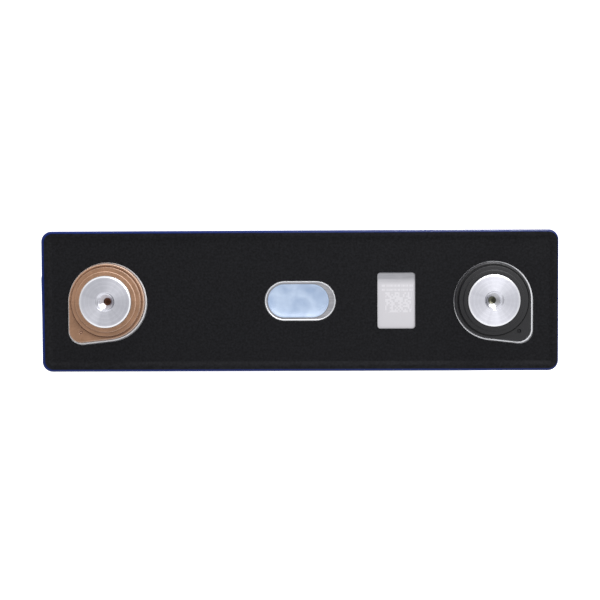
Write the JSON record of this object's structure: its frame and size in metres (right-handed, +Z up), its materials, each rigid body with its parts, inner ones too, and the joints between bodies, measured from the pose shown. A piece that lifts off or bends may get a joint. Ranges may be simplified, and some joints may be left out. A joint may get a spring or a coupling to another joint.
{
  "type": "prismatic battery cell",
  "caption": "Prismatic lithium iron phosphate cell in a blue film wrap, with threaded round terminals and a vent in its black film-covered top.",
  "frame": {"origin": "middle of the base, on the surface that the cell stands on", "axes": "+Z up towards the terminals, +X along the cell's length from the positive to the negative terminal, Y through its thickness"},
  "size_m": [0.174, 0.0474, 0.17],
  "materials": {
    "can_aluminium": "satin, rolled",
    "turned_aluminium": "turned, fine concentric lines",
    "foil_aluminium": "bright foil",
    "copper": null,
    "blue_film": "glossy blue film",
    "black_film": "matte black film with a fine grain",
    "vent_film": "pale blue translucent film",
    "white_film": "matte white film",
    "clear_film": "milky clear film",
    "brown_plastic": "moulded satin brown",
    "black_plastic": "moulded satin black",
    "milky_plastic": "moulded natural plastic",
    "seal_rubber": "moulded black rubber",
    "graphite_coating": "rolled graphite coating on copper foil",
    "phosphate_coating": "rolled phosphate coating on aluminium foil",
    "green_tape": "green film tape"
  },
  "bodies": {
    "root": {"can": "can_aluminium", "cover_plate": "can_aluminium", "wrap_film": "blue_film", "base_sheet": "white_film", "top_film": "black_film", "vent_disc": "can_aluminium", "vent_film": "vent_film", "fill_plug": "seal_rubber", "fill_cap": "can_aluminium", "positive_terminal": "turned_aluminium", "negative_terminal": "turned_aluminium", "negative_stem": "copper", "positive_top_insulator": "brown_plastic", "negative_top_insulator": "black_plastic", "positive_seal": "seal_rubber", "negative_seal": "seal_rubber", "positive_under_plate": "milky_plastic", "negative_under_plate": "milky_plastic", "positive_collector": "foil_aluminium", "negative_collector": "copper", "support_plate": "milky_plastic", "roll_bag": "clear_film", "positive_front_tab": "foil_aluminium", "positive_front_weld_strip": "foil_aluminium", "negative_front_tab": "copper", "negative_front_weld_strip": "copper", "front_cathode": "phosphate_coating", "front_anode": "graphite_coating", "front_inner_separator": "white_film", "front_outer_separator": "white_film", "front_roll_tape": "green_tape", "positive_rear_tab": "foil_aluminium", "positive_rear_weld_strip": "foil_aluminium", "negative_rear_tab": "copper", "negative_rear_weld_strip": "copper", "rear_cathode": "phosphate_coating", "rear_anode": "graphite_coating", "rear_inner_separator": "white_film", "rear_outer_separator": "white_film", "rear_roll_tape": "green_tape"}
  },
  "joints": []
}
